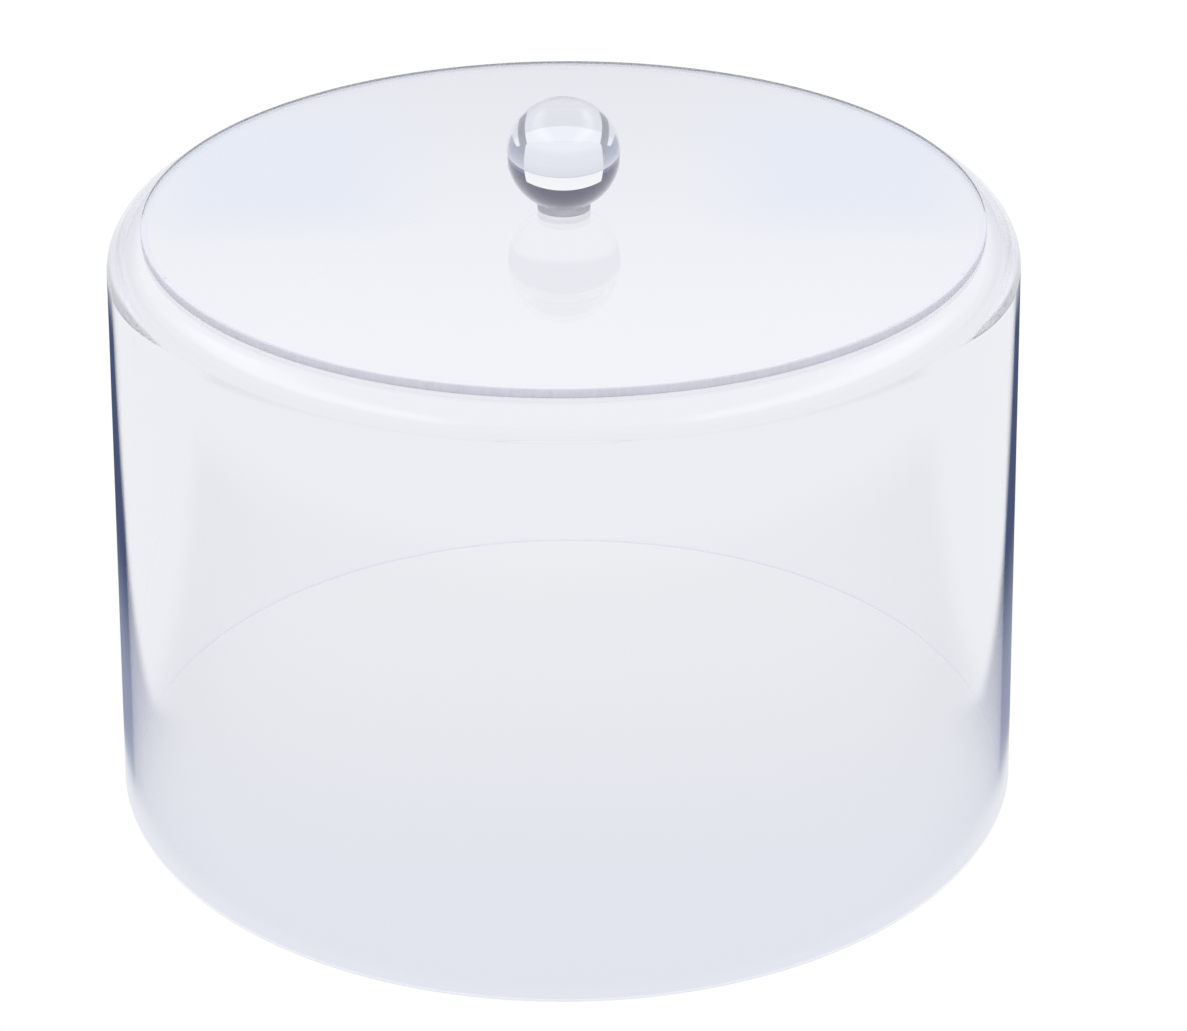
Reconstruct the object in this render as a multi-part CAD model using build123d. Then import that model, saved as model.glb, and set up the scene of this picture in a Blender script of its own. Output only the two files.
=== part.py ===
from build123d import *
import math
import os

# Cheese dome: a clear acrylic cover, open underneath, with a ball knob on its flat top.
# Millimetres, +Z up. The origin is the centre of the rim that stands on the table.

# Driving dimensions
RIM_DIAMETER = 311.0        # outside of the wall where it stands on the table
DRAFT_ANGLE = 1.9           # degrees that the wall leans in as it rises
SHEET_THICKNESS = 3.0       # acrylic of the wall and of the top disc
LEDGE_THICKNESS = 1.5       # the sheet is drawn thinner where it turns over the shoulder
LEDGE_HEIGHT = 202.0        # flat ledge that the top disc is bonded to
SHOULDER_RADIUS = 11.6      # outside radius between the wall and the ledge
LEDGE_WIDTH = 2.5           # how far the ledge reaches in under the top disc
RIM_EDGE_RADIUS = 0.6       # flame-polished edges of the rim
DISC_EDGE_BREAK = 0.25      # tiny bevel round both edges of the top disc
BALL_DIAMETER = 37.2        # knob
BALL_GAP = 0.3              # air between the ball and the disc, inside the collar
COLLAR_DIAMETER = 17.4      # short ring that the ball sits in
COLLAR_BORE = 11.4          # bore of the collar

# Derived dimensions
DRAFT = math.radians(DRAFT_ANGLE)
RIM_RADIUS = RIM_DIAMETER / 2
SHOULDER_CENTRE_HEIGHT = LEDGE_HEIGHT - SHOULDER_RADIUS
# The shoulder turns level at this radius, and the top disc is cut to it.
DISC_RADIUS = RIM_RADIUS - (SHOULDER_RADIUS + SHOULDER_CENTRE_HEIGHT * math.sin(DRAFT)) / math.cos(DRAFT)
DISC_TOP = LEDGE_HEIGHT + SHEET_THICKNESS
BALL_RADIUS = BALL_DIAMETER / 2
BALL_HEIGHT = DISC_TOP + BALL_GAP + BALL_RADIUS
COLLAR_RADIUS = COLLAR_DIAMETER / 2
COLLAR_HEIGHT = BALL_HEIGHT - math.sqrt(BALL_RADIUS**2 - COLLAR_RADIUS**2) - DISC_TOP

STANDING = (Align.CENTER, Align.CENTER, Align.MIN)


def drafted_plug(side_inset, top_inset):
    """Solid block that lies inside the outer surface by one inset at its side and one at its top."""
    height = LEDGE_HEIGHT - top_inset
    base_radius = RIM_RADIUS - side_inset / math.cos(DRAFT)
    top_radius = base_radius - height * math.tan(DRAFT)
    plug = Cone(base_radius, top_radius, height, align=STANDING)
    top_edge = plug.edges().group_by(Axis.Z)[-1]
    return fillet(top_edge, SHOULDER_RADIUS - side_inset)


def make_dome_wall():
    """Drafted wall and rounded shoulder, open underneath and open inside its ledge."""
    opening = Cylinder(DISC_RADIUS - LEDGE_WIDTH, LEDGE_HEIGHT, align=STANDING)
    wall = drafted_plug(0, 0) - drafted_plug(SHEET_THICKNESS, LEDGE_THICKNESS) - opening
    rim_edges = wall.edges().group_by(Axis.Z)[0]
    return fillet(rim_edges, RIM_EDGE_RADIUS)


def make_top_disc():
    """Flat disc with a square, lightly bevelled edge, bonded on the ledge."""
    disc = Pos(0, 0, LEDGE_HEIGHT) * Cylinder(DISC_RADIUS, SHEET_THICKNESS, align=STANDING)
    return chamfer(disc.edges().filter_by(GeomType.CIRCLE), DISC_EDGE_BREAK)


def make_ball():
    """Solid ball of the knob."""
    return Pos(0, 0, BALL_HEIGHT) * Sphere(BALL_RADIUS)


def make_knob_collar():
    """Short slice of tube whose top is hollowed to the ball's own radius."""
    slice_of_tube = Cylinder(COLLAR_RADIUS, COLLAR_HEIGHT, align=STANDING)
    slice_of_tube -= Cylinder(COLLAR_BORE / 2, COLLAR_HEIGHT, align=STANDING)
    return Pos(0, 0, DISC_TOP) * slice_of_tube - make_ball()


NODES = {
    "dome_wall": make_dome_wall,
    "top_disc": make_top_disc,
    "knob_collar": make_knob_collar,
    "knob_ball": make_ball,
}

os.makedirs("parts", exist_ok=True)
for name, make in NODES.items():
    piece = make()
    piece.label = name
    export_step(piece, f"parts/{name}.step")
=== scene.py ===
import math

import bmesh
import bpy
from mathutils import Matrix, Vector, noise


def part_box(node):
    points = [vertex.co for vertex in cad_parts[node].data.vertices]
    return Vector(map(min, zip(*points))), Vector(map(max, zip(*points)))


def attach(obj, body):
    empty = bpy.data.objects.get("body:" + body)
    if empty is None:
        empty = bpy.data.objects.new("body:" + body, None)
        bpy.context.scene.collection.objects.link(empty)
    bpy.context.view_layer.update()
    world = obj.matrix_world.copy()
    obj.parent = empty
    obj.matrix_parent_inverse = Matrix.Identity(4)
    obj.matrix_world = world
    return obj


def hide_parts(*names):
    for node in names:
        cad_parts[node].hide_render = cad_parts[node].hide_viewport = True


# Clear acrylic cheese dome on a white table. Metres, +Z up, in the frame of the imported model.

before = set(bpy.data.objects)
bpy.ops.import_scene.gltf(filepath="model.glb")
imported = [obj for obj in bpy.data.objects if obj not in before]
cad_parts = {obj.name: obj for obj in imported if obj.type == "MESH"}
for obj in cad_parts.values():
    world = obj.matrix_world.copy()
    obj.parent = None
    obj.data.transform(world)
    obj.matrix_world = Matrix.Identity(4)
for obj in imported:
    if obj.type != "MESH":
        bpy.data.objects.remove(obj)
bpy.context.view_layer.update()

MM = 0.001
BODY = "root"

# ---------------------------------------------------------------- sizes read from the frame

wall_low, wall_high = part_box("dome_wall")
disc_low, disc_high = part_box("top_disc")
collar_low, collar_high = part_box("knob_collar")
ball_low, ball_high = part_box("knob_ball")

RIM_RADIUS = wall_high.x
LEDGE_HEIGHT = wall_high.z
DISC_RADIUS = disc_high.x
DISC_TOP = disc_high.z
COLLAR_RADIUS = collar_high.x
BALL_RADIUS = ball_high.x
BALL_HEIGHT = (ball_low.z + ball_high.z) / 2

# ---------------------------------------------------------------- sizes of the acrylic

SHEET = DISC_TOP - LEDGE_HEIGHT       # thickness of the wall and of the disc
DRAFT = math.radians(1.9)
SHOULDER_RADIUS = 11.6 * MM
LEDGE_WIDTH = 2.5 * MM
LEDGE_THICKNESS = 1.5 * MM
RIM_EDGE_RADIUS = 0.6 * MM
DISC_EDGE_RADIUS = 0.3 * MM
COLLAR_BORE_RADIUS = 5.7 * MM
BOND = 0.02 * MM                      # hairline between two bonded faces
GUARD = 0.25 * MM                     # distance of a guard point from the end of a straight run
SEGMENTS = 360                        # steps round the wall and the disc
SMALL_SEGMENTS = 256                  # steps round the ball and the collar
STRAIGHT_STEPS = 10                   # steps down the wall
ON_THE_AXIS = 1e-7                    # a point nearer the axis than this is one vertex
CREASE = math.radians(30)             # an edge turned more sharply than this stays sharp

# ---------------------------------------------------------------- mesh


def arc(centre_r, centre_z, radius, start, end, steps):
    """Points (r, z) of an arc between two angles in degrees, anticlockwise from +r."""
    angles = [math.radians(start + (end - start) * i / steps) for i in range(steps + 1)]
    return [(centre_r + radius * math.cos(a), centre_z + radius * math.sin(a)) for a in angles]


def guarded(profile, closed):
    """The profile with a point close to each end of every long straight run, which keeps its shading flat."""
    points = []
    followers = profile[1:] + profile[:1] if closed else profile[1:] + [profile[-1]]
    for here, ahead in zip(profile, followers):
        points.append(here)
        length = math.dist(here, ahead)
        if length > 4 * GUARD:
            for share in (GUARD / length, 1 - GUARD / length):
                points.append(tuple(a + (b - a) * share for a, b in zip(here, ahead)))
    return points


def between(start, end, steps):
    """The points inside the straight run from start to end, cut into steps."""
    shares = [i / steps for i in range(1, steps)]
    return [tuple(a + (b - a) * share for a, b in zip(start, end)) for share in shares]


def lathe(name, profile, segments=SEGMENTS, closed=True):
    """Mesh object from a profile of (r, z) points turned about Z. A point on the axis becomes one vertex."""
    mesh = bmesh.new()
    profile = guarded(profile, closed)
    rings = []
    for r, z in profile:
        turns = segments if r > ON_THE_AXIS else 1
        angles = [2 * math.pi * i / segments for i in range(turns)]
        rings.append([mesh.verts.new((r * math.cos(a), r * math.sin(a), z)) for a in angles])
    followers = rings[1:] + rings[:1] if closed else rings[1:]
    for ring, follower in zip(rings, followers):
        for i in range(segments):
            j = (i + 1) % segments
            corners = [ring[i % len(ring)], ring[j % len(ring)]]
            corners += [follower[j % len(follower)], follower[i % len(follower)]]
            mesh.faces.new(list(dict.fromkeys(corners)))
    bmesh.ops.recalc_face_normals(mesh, faces=mesh.faces)
    data = bpy.data.meshes.new(name)
    mesh.to_mesh(data)
    mesh.free()
    data.shade_smooth()
    data.set_sharp_from_angle(angle=CREASE)
    piece = bpy.data.objects.new(name, data)
    bpy.context.scene.collection.objects.link(piece)
    return piece


def ripple(piece, height, size, shoulder_factor, seed):
    """Moves the surface in and out by up to height, in soft swells about size across, as formed sheet has."""
    offset = Vector((seed, 2.3 * seed, 3.7 * seed))
    for vertex in piece.data.vertices:
        outward = Vector((vertex.co.x, vertex.co.y, 0)).normalized()
        near_shoulder = min(max(1 - (LEDGE_HEIGHT - vertex.co.z) / (3 * SHOULDER_RADIUS), 0), 1)
        swell = height * (1 + (shoulder_factor - 1) * near_shoulder**2)
        vertex.co += outward * swell * noise.noise(vertex.co / size + offset)


def place(piece, material, node):
    """Hangs a piece on the body in place of its CAD node."""
    piece.data.materials.append(material)
    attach(piece, BODY)
    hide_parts(node)


def make_wall():
    """Drafted wall, rounded shoulder and the thin ledge under the disc, as one sheet."""
    lean = math.degrees(DRAFT)
    edge = RIM_EDGE_RADIUS
    ledge_edge = DISC_RADIUS - LEDGE_WIDTH
    inner_radius = SHOULDER_RADIUS - SHEET
    inner_centre_z = LEDGE_HEIGHT - LEDGE_THICKNESS - inner_radius
    rim_inner = RIM_RADIUS - SHEET / math.cos(DRAFT)
    inner_top = rim_inner - inner_centre_z * math.tan(DRAFT)
    inner_centre_r = inner_top - inner_radius / math.cos(DRAFT)

    outer_rim = arc(RIM_RADIUS - edge, edge, edge, -90, lean, steps=6)
    shoulder = arc(DISC_RADIUS, LEDGE_HEIGHT - SHOULDER_RADIUS, SHOULDER_RADIUS, lean, 90, steps=28)
    ledge = [(ledge_edge, LEDGE_HEIGHT), (ledge_edge, LEDGE_HEIGHT - LEDGE_THICKNESS)]
    inner_shoulder = arc(inner_centre_r, inner_centre_z, inner_radius, 90, lean, steps=24)
    inner_rim = arc(rim_inner + edge, edge, edge, 180 + lean, 270, steps=6)

    profile = outer_rim + between(outer_rim[-1], shoulder[0], STRAIGHT_STEPS) + shoulder + ledge
    profile += inner_shoulder + between(inner_shoulder[-1], inner_rim[0], STRAIGHT_STEPS) + inner_rim
    return lathe("acrylic_wall", profile)


def make_disc():
    """Flat disc that stands proud of the shoulder, with softened edges."""
    soft = DISC_EDGE_RADIUS
    low = LEDGE_HEIGHT + BOND
    profile = [(0, low), (DISC_RADIUS - LEDGE_WIDTH, low)]
    profile += arc(DISC_RADIUS - soft, low + soft, soft, -90, 0, steps=4)
    profile += arc(DISC_RADIUS - soft, DISC_TOP - soft, soft, 0, 90, steps=4)
    profile += [(COLLAR_RADIUS, DISC_TOP), (0, DISC_TOP)]
    return lathe("acrylic_disc", profile, closed=False)


def make_ball():
    """Solid ball."""
    profile = arc(0, BALL_HEIGHT, BALL_RADIUS, -90, 90, steps=128)
    profile[0] = (0, profile[0][1])
    profile[-1] = (0, profile[-1][1])
    return lathe("acrylic_ball", profile, segments=SMALL_SEGMENTS, closed=False)


def make_collar():
    """Slice of tube, hollowed on top to the ball."""
    low = DISC_TOP + BOND
    seat_radius = BALL_RADIUS + BOND
    steps = 8
    seat = []
    for i in range(steps + 1):
        r = COLLAR_RADIUS + (COLLAR_BORE_RADIUS - COLLAR_RADIUS) * i / steps
        seat.append((r, BALL_HEIGHT - math.sqrt(seat_radius**2 - r**2)))
    profile = [(COLLAR_BORE_RADIUS, low), (COLLAR_RADIUS, low)] + seat
    return lathe("acrylic_collar", profile, segments=SMALL_SEGMENTS)


# ---------------------------------------------------------------- materials


IOR = 1.49                            # of acrylic
TINT = (0.985, 0.988, 1.0)            # faint cold tint that one surface of clear acrylic gives
HAIRLINE_SCALE = 60.0                 # coarseness of the noise that hairline scratches follow
HAIRLINE_WIDTH = 0.004                # of that noise, about its middle
HAIRLINE_ROUGHNESS = 0.12
SCRATCHED_SCALE = 23.0                # coarseness of the patches that have hairlines
SCRATCHED_EDGE = (0.56, 0.66)
WAVE_SCALE = 45.0
DUST = (0.55, 0.57, 0.62)
DUST_SPACING = 14 * MM
DUST_SIZE = 0.09 * MM
DUST_SHARE = 0.4                      # of the places where a grain could be
TOOL_MARK_SCALE = 900.0
TOOL_MARK_RANGE = (0.3, 0.7)          # of their noise, from a furrow to a ridge
SATIN_ROUGHNESS = (0.35, 0.5)
FLAT = 0.999                          # a face whose normal is nearer vertical than this is flat


def math_node(tree, operation, a, b=0.0):
    """One maths node on sockets or numbers."""
    node = tree.nodes.new("ShaderNodeMath")
    node.operation = operation
    for socket, value in zip(node.inputs, (a, b)):
        if isinstance(value, (int, float)):
            socket.default_value = value
        else:
            tree.links.new(value, socket)
    return node.outputs[0]


def mix_node(tree, factor, a, b):
    """The colour a where factor is 0 and b where it is 1."""
    node = tree.nodes.new("ShaderNodeMix")
    node.data_type = "RGBA"
    for name, value in (("Factor", factor), ("A", a), ("B", b)):
        if isinstance(value, tuple):
            node.inputs[name].default_value = (*value, 1)
        else:
            tree.links.new(value, node.inputs[name])
    return node.outputs["Result"]


def object_point(tree, scale=(1, 1, 1)):
    """The point on the piece, in metres, stretched by scale."""
    node = tree.nodes.new("ShaderNodeMapping")
    node.inputs["Scale"].default_value = scale
    tree.links.new(tree.nodes.new("ShaderNodeTexCoord").outputs["Object"], node.inputs["Vector"])
    return node.outputs[0]


def swells(tree, scale, detail, stretch=(1, 1, 1)):
    """Soft noise over the piece."""
    node = tree.nodes.new("ShaderNodeTexNoise")
    node.inputs["Scale"].default_value = scale
    node.inputs["Detail"].default_value = detail
    tree.links.new(object_point(tree, stretch), node.inputs["Vector"])
    return node.outputs["Fac"]


def ramp(tree, value, low, high, to_low=0.0, to_high=1.0):
    """The value with low to high carried over to to_low to to_high, and held at the ends."""
    node = tree.nodes.new("ShaderNodeMapRange")
    tree.links.new(value, node.inputs["Value"])
    for name, number in (("From Min", low), ("From Max", high), ("To Min", to_low), ("To Max", to_high)):
        node.inputs[name].default_value = number
    return node.outputs["Result"]


def scratches(tree, stretch):
    """Hairlines where a stretched noise crosses its middle, kept to a few patches."""
    noise_value = swells(tree, HAIRLINE_SCALE, 1.0, stretch)
    off_middle = math_node(tree, "ABSOLUTE", math_node(tree, "SUBTRACT", noise_value, 0.5))
    line = ramp(tree, off_middle, 0.0, HAIRLINE_WIDTH, 1.0, 0.0)
    patches = ramp(tree, swells(tree, SCRATCHED_SCALE, 2.0), *SCRATCHED_EDGE)
    return math_node(tree, "MULTIPLY", line, patches)


def specks(tree):
    """Grains of dust: the middles of a few cells."""
    cells = tree.nodes.new("ShaderNodeTexVoronoi")
    cells.inputs["Scale"].default_value = 1 / DUST_SPACING
    tree.links.new(object_point(tree), cells.inputs["Vector"])
    near = math_node(tree, "LESS_THAN", cells.outputs["Distance"], DUST_SIZE / DUST_SPACING)
    chance = tree.nodes.new("ShaderNodeSeparateColor")
    tree.links.new(cells.outputs["Color"], chance.inputs[0])
    chosen = math_node(tree, "GREATER_THAN", chance.outputs[0], 1 - DUST_SHARE)
    return math_node(tree, "MULTIPLY", near, chosen)


def acrylic_base(name, transmission):
    """A material that refracts as acrylic. It has no absorption inside, since the disc has two materials."""
    material = bpy.data.materials.new(name)
    material.use_nodes = True
    tree = material.node_tree
    shader = tree.nodes["Principled BSDF"]
    shader.inputs["Transmission Weight"].default_value = transmission
    shader.inputs["IOR"].default_value = IOR
    return material, tree, shader


def bump(tree, shader, height, distance):
    """Unevenness too fine for the mesh."""
    node = tree.nodes.new("ShaderNodeBump")
    node.inputs["Strength"].default_value = 1
    node.inputs["Distance"].default_value = distance
    tree.links.new(height, node.inputs["Height"])
    tree.links.new(node.outputs[0], shader.inputs["Normal"])


def acrylic(name, stretch=(1, 1, 0.06), waves=0.004):
    """Polished clear acrylic with hairlines, grains of dust and waves, whose height is in millimetres."""
    material, tree, shader = acrylic_base(name, 1.0)
    roughness = math_node(tree, "MULTIPLY", scratches(tree, stretch), HAIRLINE_ROUGHNESS)
    tree.links.new(roughness, shader.inputs["Roughness"])
    tree.links.new(mix_node(tree, specks(tree), TINT, DUST), shader.inputs["Base Color"])
    bump(tree, shader, swells(tree, WAVE_SCALE, 1.0), waves * MM)
    return material


def satin_acrylic(name, light, shade, transmission, stretch, tool_marks):
    """Cut or turned acrylic: a satin with fine tool marks, whose depth is in millimetres, with painted light
    on their ridges and painted shade in their furrows.
    """
    material, tree, shader = acrylic_base(name, transmission)
    marks = swells(tree, TOOL_MARK_SCALE, 2.0, stretch)
    # The tone is painted: shade in the furrows of the tool marks, light on their ridges.
    tone = mix_node(tree, ramp(tree, marks, *TOOL_MARK_RANGE), shade, light)
    tree.links.new(tone, shader.inputs["Base Color"])
    tree.links.new(ramp(tree, marks, *TOOL_MARK_RANGE, *SATIN_ROUGHNESS), shader.inputs["Roughness"])
    bump(tree, shader, marks, tool_marks * MM)
    return material


def is_cut_edge(face):
    """Whether a face of the disc is on its rim, and not on the flats or in their middle."""
    return abs(face.normal.z) < FLAT and face.center.xy.length > COLLAR_RADIUS * 2


wall = make_wall()
ripple(wall, height=0.03 * MM, size=22 * MM, shoulder_factor=3.0, seed=5.1)
place(wall, acrylic("acrylic_of_the_wall"), "dome_wall")

disc = make_disc()
place(disc, acrylic("acrylic_of_the_disc", stretch=(1, 0.06, 1), waves=0.002), "top_disc")
# Painted light and shade give the cut edge its grey-blue band.
cut_edge = satin_acrylic(
    "acrylic_cut_edge",
    light=(0.92, 0.925, 0.97),
    shade=(0.86, 0.865, 0.91),
    transmission=0.0,
    stretch=(1, 1, 0.15),
    tool_marks=0.01,
)
disc.data.materials.append(cut_edge)
for disc_face in disc.data.polygons:
    disc_face.material_index = int(is_cut_edge(disc_face))

ball = make_ball()
place(ball, acrylic("acrylic_of_the_ball", waves=0.001), "knob_ball")
collar = make_collar()
collar_satin = satin_acrylic(
    "acrylic_of_the_collar",
    light=(1.0, 1.0, 1.0),
    shade=(0.90, 0.90, 0.95),
    transmission=0.3,
    stretch=(1, 1, 6),
    tool_marks=0.02,
)
place(collar, collar_satin, "knob_collar")

# ---------------------------------------------------------------- stage

# A clear object shows the room round it. The stage is white to the camera, and has other tones for rays
# that the acrylic has let through or reflected. A pair of numbers is where a soft step starts and ends.

WHITE = (1.0, 1.0, 1.0)

TABLE_HALF_SIZE = 6
TABLE_DROP = 0.3 * MM                 # the table is just under the rim
TABLE_INSIDE = (0.87, 0.875, 0.90)
# painted shade on the table inside the dome, towards the front
TABLE_INSIDE_FRONT_SHADE = (0.78, 0.80, 0.86)
FRONT_TO_BACK = (-0.17, 0.12)
TABLE_IN_THE_BALL = (0.74, 0.75, 0.78)
UNDER_THE_DISC = (0.148, 0.154)
BEYOND_THE_WALL = (0.156, 0.160)
SWEEP = (0.90, 0.91, 0.95)            # white sweep in front of the dome and behind it
SWEEP_START = (0.272, 0.280)

DARK_STRIP = (0.2, 0.21, 0.25)              # a dark strip either side of the dome, painted into the table, which only rays through the acrylic see
STRIP_INNER_LEAN = 0.213               # how far its sides lean out for each metre from the middle
STRIP_OUTER_LEAN = 0.28
STRIP_INNER_SIDE = (0.143, 0.149)
STRIP_OUTER_SIDE = (0.208, 0.226)
STRIP_START = (0.05, 0.07)

PAINTED_EDGE_NEAR = (0.30, 0.33, 0.45)        # painted dark ring on the table, which only rays reflected at the wall's edge see, close to the dome
PAINTED_EDGE_FAR = (0.07, 0.09, 0.17)         # and further off
NEAR_TO_FAR = (0.17, 0.27)
RING_START = (0.155, 0.165)
RING_END = (0.44, 0.52)
BEHIND = (-0.06, 0.02)

PANEL_LOW = (0.86, 0.87, 0.92)
PANEL_TOP = (0.92, 0.92, 0.94)
LOW_TO_TOP = (0.12, 0.22)
PANEL_DISTANCE = 0.405
PANEL_WIDTH = 0.49
SIDE_PANEL_WIDTH = 0.28
PANEL_HEIGHT = 0.262
ROOM_SIDE = (0.20, 0.22, 0.34)        # the dark room behind the panels
ROOM_START = (PANEL_DISTANCE - MM, PANEL_DISTANCE + MM)
ROOM_HIGH = (0.11, 0.105, 0.155)      # and over them

SKY_LOW = (0.62, 0.64, 0.70)
SKY_HIGH = (1.07, 1.08, 1.13)
SKY_RISE = (math.sin(math.radians(18.5)), math.sin(math.radians(25.5)))
SKY_IN_THE_EDGE = (0.82, 0.82, 0.88)
SKY_PATCH = (0.70, 0.78, 0.98)        # a bluish patch either side of the middle
PATCH_INNER_SIDE = (0.03, 0.07)
PATCH_OUTER_SIDE = (0.10, 0.13)
PATCH_LOW = (0.352, 0.365)
PATCH_HIGH = (0.38, 0.395)
SOFTBOX = (2.4, 2.4, 2.5)             # a soft light either side, overhead
SOFTBOX_SIDE = (0.3, 0.5)
SOFTBOX_LOW = (0.52, 0.70)
SOFTBOX_HIGH = (0.75, 0.9)


def smooth(tree, value, low, high):
    """0 below low, 1 above high, with a soft step between."""
    node = tree.nodes.new("ShaderNodeMapRange")
    node.interpolation_type = "SMOOTHSTEP"
    tree.links.new(value, node.inputs["Value"])
    node.inputs["From Min"].default_value = low
    node.inputs["From Max"].default_value = high
    return node.outputs["Result"]


def within(tree, value, start, end):
    """1 from the soft step start to the soft step end, and 0 outside them."""
    return math_node(tree, "SUBTRACT", smooth(tree, value, *start), smooth(tree, value, *end))


def times(tree, *values):
    """The product of the values."""
    product = values[0]
    for value in values[1:]:
        product = math_node(tree, "MULTIPLY", product, value)
    return product


def opposite(tree, value):
    """1 where the value is 0, and 0 where it is 1."""
    return math_node(tree, "SUBTRACT", 1.0, value)


def equals(tree, value, number):
    output = math_node(tree, "COMPARE", value, number)
    output.node.inputs[2].default_value = 0.5
    return output


def light_paths(tree):
    """Switches for the kinds of light path, told apart by how many surfaces the ray has been through."""
    path = tree.nodes.new("ShaderNodeLightPath")
    through = path.outputs["Transmission Depth"]
    none, two, four, six = (equals(tree, through, number) for number in (0, 2, 4, 6))
    reflected = math_node(tree, "GREATER_THAN", path.outputs["Glossy Depth"], 0.5)
    scattered = math_node(tree, "GREATER_THAN", path.outputs["Diffuse Depth"], 0.5)
    straight = opposite(tree, math_node(tree, "MAXIMUM", reflected, scattered))
    return {
        "camera": path.outputs["Is Camera Ray"],
        "through_one": times(tree, two, straight),        # through the wall, or through the ball
        "through_two": times(tree, four, straight),       # through the ball and the disc
        "through_three": times(tree, six, straight),      # through the ball, the disc and the wall
        "in_the_ball": times(tree, math_node(tree, "MAXIMUM", two, six), straight),
        "edge": times(tree, two, reflected),              # reflected inside a sheet
        "mirror": times(tree, none, reflected),           # reflected on the outside of a piece
    }


def emission_material(name):
    material = bpy.data.materials.new(name)
    material.use_nodes = True
    material.node_tree.nodes.clear()
    return material


def glow(tree, tone):
    node = tree.nodes.new("ShaderNodeEmission")
    tree.links.new(tone, node.inputs["Color"])
    return node.outputs[0]


def finish_surface(tree, shader):
    output = tree.nodes.new("ShaderNodeOutputMaterial")
    tree.links.new(shader, output.inputs["Surface"])


def split_xyz(tree, vector):
    node = tree.nodes.new("ShaderNodeSeparateXYZ")
    tree.links.new(vector, node.inputs[0])
    return node.outputs


def stage_mesh(name, corners, material):
    """A flat mesh that isn't part of the object."""
    mesh = bmesh.new()
    mesh.faces.new([mesh.verts.new(c) for c in corners])
    data = bpy.data.meshes.new(name)
    mesh.to_mesh(data)
    mesh.free()
    data.materials.append(material)
    piece = bpy.data.objects.new(name, data)
    bpy.context.scene.collection.objects.link(piece)
    return piece


def make_table():
    """The table, with the sweep, the painted dark strips and the dark room lying in it as the acrylic shows
    them.
    """
    material = emission_material("table_white")
    tree = material.node_tree
    kinds = light_paths(tree)
    position = tree.nodes.new("ShaderNodeNewGeometry").outputs["Position"]
    length = tree.nodes.new("ShaderNodeVectorMath")
    length.operation = "LENGTH"
    tree.links.new(position, length.inputs[0])
    radius = length.outputs["Value"]
    across, along, _ = split_xyz(tree, position)
    x = math_node(tree, "ABSOLUTE", across)
    y = math_node(tree, "ABSOLUTE", along)

    # What the ball picks up: the white sweep, the dark room behind the panels, and the painted dark strips.
    tone = mix_node(tree, smooth(tree, y, *SWEEP_START), TABLE_IN_THE_BALL, SWEEP)
    tone = mix_node(tree, smooth(tree, math_node(tree, "MAXIMUM", x, y), *ROOM_START), tone, ROOM_SIDE)
    inner_side = math_node(tree, "SUBTRACT", x, times(tree, y, STRIP_INNER_LEAN))
    outer_side = math_node(tree, "SUBTRACT", x, times(tree, y, STRIP_OUTER_LEAN))
    past_strip = smooth(tree, outer_side, *STRIP_OUTER_SIDE)
    from_strip = smooth(tree, inner_side, *STRIP_INNER_SIDE)
    # Painted dark strips either side of the dome, seen only through the acrylic.
    dark_strip = times(tree, from_strip, opposite(tree, past_strip), smooth(tree, y, *STRIP_START))
    tone = mix_node(tree, dark_strip, tone, DARK_STRIP)

    # Painted shade: the table inside the dome is a little darker and colder towards the front.
    inside = mix_node(tree, smooth(tree, along, *FRONT_TO_BACK), TABLE_INSIDE_FRONT_SHADE, TABLE_INSIDE)
    beyond = times(tree, kinds["through_one"], smooth(tree, radius, *BEYOND_THE_WALL))
    clear = math_node(tree, "MAXIMUM", kinds["through_three"], beyond)
    tone = mix_node(tree, clear, inside, tone)
    under = opposite(tree, smooth(tree, radius, *UNDER_THE_DISC))
    tone = mix_node(tree, times(tree, kinds["through_two"], under), tone, TABLE_IN_THE_BALL)

    # Painted dark reflection for the edge of the wall, inside the sheet and on its outside: a dark ring on
    # the table round the dome, open behind it beyond the dark strips, which only reflected rays see.
    behind = smooth(tree, along, *BEHIND)
    gap = times(tree, past_strip, behind)
    ring = times(tree, within(tree, radius, RING_START, RING_END), opposite(tree, gap))
    painted_edge_dark = mix_node(tree, smooth(tree, radius, *NEAR_TO_FAR), PAINTED_EDGE_NEAR, PAINTED_EDGE_FAR)
    tone = mix_node(tree, times(tree, kinds["edge"], ring), tone, painted_edge_dark)
    tone = mix_node(tree, times(tree, kinds["mirror"], ring, behind), tone, painted_edge_dark)

    tone = mix_node(tree, kinds["camera"], tone, WHITE)
    finish_surface(tree, glow(tree, tone))
    signs = [(-1, -1), (1, -1), (1, 1), (-1, 1)]
    corners = [(i * TABLE_HALF_SIZE, j * TABLE_HALF_SIZE, -TABLE_DROP) for i, j in signs]
    stage_mesh("table", corners, material)


def make_panels():
    """White panels on four sides, with dark gaps between them, which only the ball and the wall pick up."""
    material = emission_material("panel_white")
    tree = material.node_tree
    height = split_xyz(tree, tree.nodes.new("ShaderNodeNewGeometry").outputs["Position"])["Z"]
    tone = mix_node(tree, smooth(tree, height, *LOW_TO_TOP), PANEL_LOW, PANEL_TOP)
    mix = tree.nodes.new("ShaderNodeMixShader")
    tree.links.new(light_paths(tree)["in_the_ball"], mix.inputs[0])
    tree.links.new(tree.nodes.new("ShaderNodeBsdfTransparent").outputs[0], mix.inputs[1])
    tree.links.new(glow(tree, tone), mix.inputs[2])
    finish_surface(tree, mix.outputs[0])
    for number, width in enumerate((PANEL_WIDTH, SIDE_PANEL_WIDTH) * 2):
        turn = Matrix.Rotation(math.radians(90 * number), 3, "Z")
        low = [Vector((side * width / 2, PANEL_DISTANCE, 0)) for side in (-1, 1)]
        high = [corner + Vector((0, 0, PANEL_HEIGHT)) for corner in reversed(low)]
        panel = stage_mesh("panel", [turn @ corner for corner in low + high], material)
        panel.visible_camera = False


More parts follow.
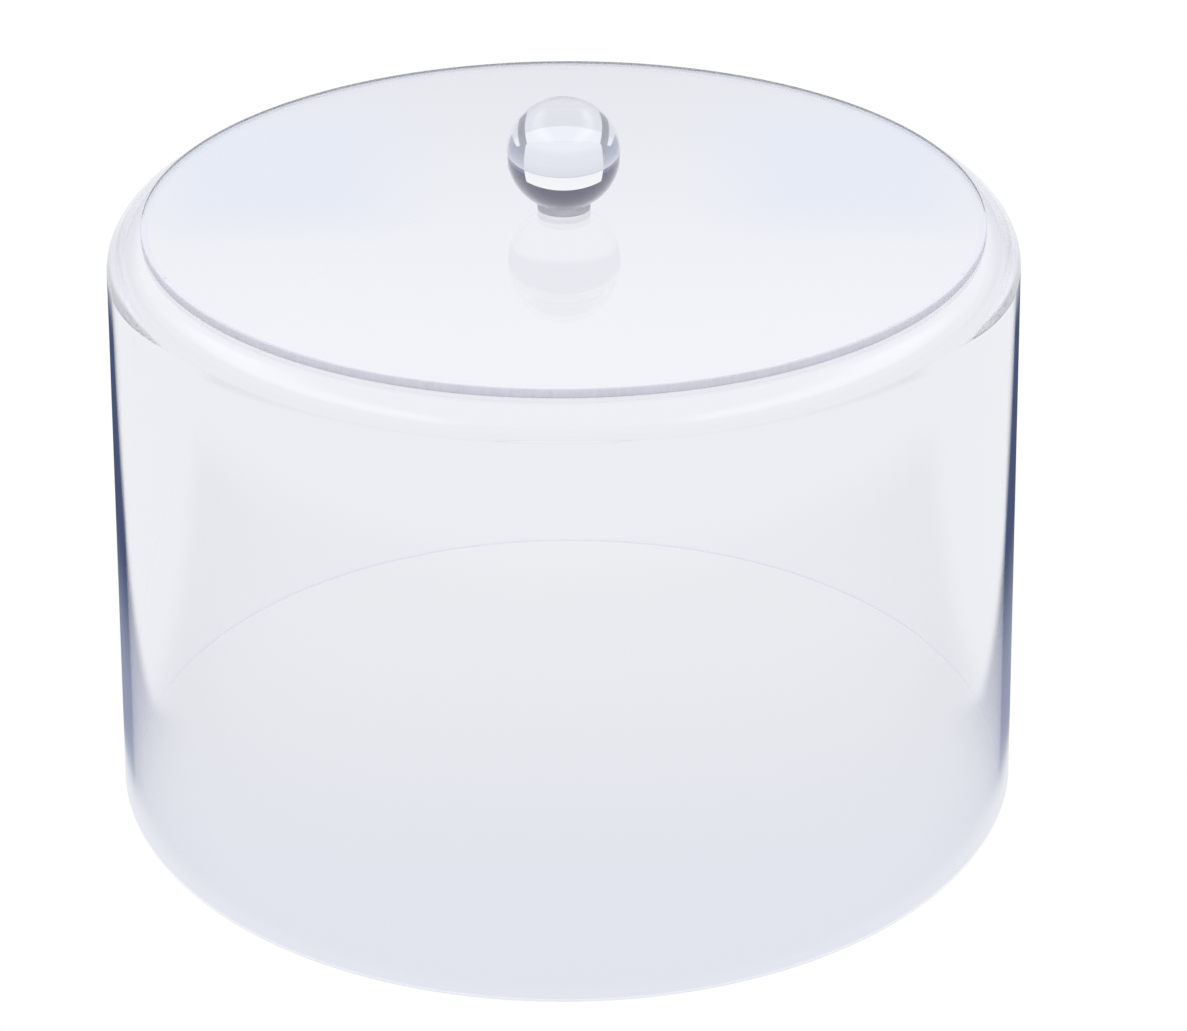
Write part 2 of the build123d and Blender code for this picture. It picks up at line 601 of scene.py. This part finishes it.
def make_world():
    """White to the camera, a soft sky in reflections, and a dark room to the ball."""
    world = bpy.data.worlds.new("studio")
    bpy.context.scene.world = world
    world.use_nodes = True
    tree = world.node_tree
    kinds = light_paths(tree)
    direction = split_xyz(tree, tree.nodes.new("ShaderNodeTexCoord").outputs["Generated"])
    up = direction["Z"]
    side = math_node(tree, "ABSOLUTE", direction["X"])
    patch_across = within(tree, side, PATCH_INNER_SIDE, PATCH_OUTER_SIDE)
    patch = times(tree, patch_across, within(tree, up, PATCH_LOW, PATCH_HIGH))
    softbox = times(tree, within(tree, up, SOFTBOX_LOW, SOFTBOX_HIGH), smooth(tree, side, *SOFTBOX_SIDE))
    sky = mix_node(tree, smooth(tree, up, *SKY_RISE), SKY_LOW, SKY_HIGH)
    sky = mix_node(tree, patch, sky, SKY_PATCH)
    tone = mix_node(tree, kinds["edge"], SKY_IN_THE_EDGE, sky)
    tone = mix_node(tree, kinds["mirror"], tone, mix_node(tree, softbox, sky, SOFTBOX))
    tone = mix_node(tree, kinds["in_the_ball"], tone, ROOM_HIGH)
    tone = mix_node(tree, kinds["camera"], tone, WHITE)
    tree.links.new(tone, tree.nodes["Background"].inputs["Color"])


make_table()
make_panels()
make_world()

# ---------------------------------------------------------------- camera

CAMERA_PLACE = (0, -1.0337, 0.6346)
CAMERA_YAW = math.radians(0.554)
CAMERA_PITCH = math.radians(27.664)   # downwards
CAMERA_ROLL = math.radians(-0.106)
SENSOR_WIDTH = 36
LENS = 103.5
SHIFT = (-0.00135, -0.00345)


def make_camera():
    camera = bpy.data.cameras.new("camera")
    camera.sensor_width = SENSOR_WIDTH
    camera.lens = LENS
    camera.shift_x, camera.shift_y = SHIFT
    camera.clip_end = 50
    mount = bpy.data.objects.new("camera", camera)
    bpy.context.scene.collection.objects.link(mount)
    ahead = (math.sin(CAMERA_YAW) * math.cos(CAMERA_PITCH), math.cos(CAMERA_YAW) * math.cos(CAMERA_PITCH))
    forward = Vector((*ahead, -math.sin(CAMERA_PITCH)))
    right = forward.cross(Vector((0, 0, 1))).normalized()
    up = right.cross(forward)
    rolled_right = right * math.cos(CAMERA_ROLL) + up * math.sin(CAMERA_ROLL)
    rolled_up = up * math.cos(CAMERA_ROLL) - right * math.sin(CAMERA_ROLL)
    turn = Matrix((rolled_right, rolled_up, -forward)).transposed().to_4x4()
    mount.matrix_world = Matrix.Translation(CAMERA_PLACE) @ turn
    bpy.context.scene.camera = mount


make_camera()

scene = bpy.context.scene
scene.view_settings.view_transform = "Standard"
scene.cycles.use_denoising = True
scene.cycles.max_bounces = 200
scene.cycles.transmission_bounces = 24
scene.cycles.glossy_bounces = 190     # light caught in the sheet runs down the wall to the rim
scene.cycles.diffuse_bounces = 12
scene.cycles.transparent_max_bounces = 16
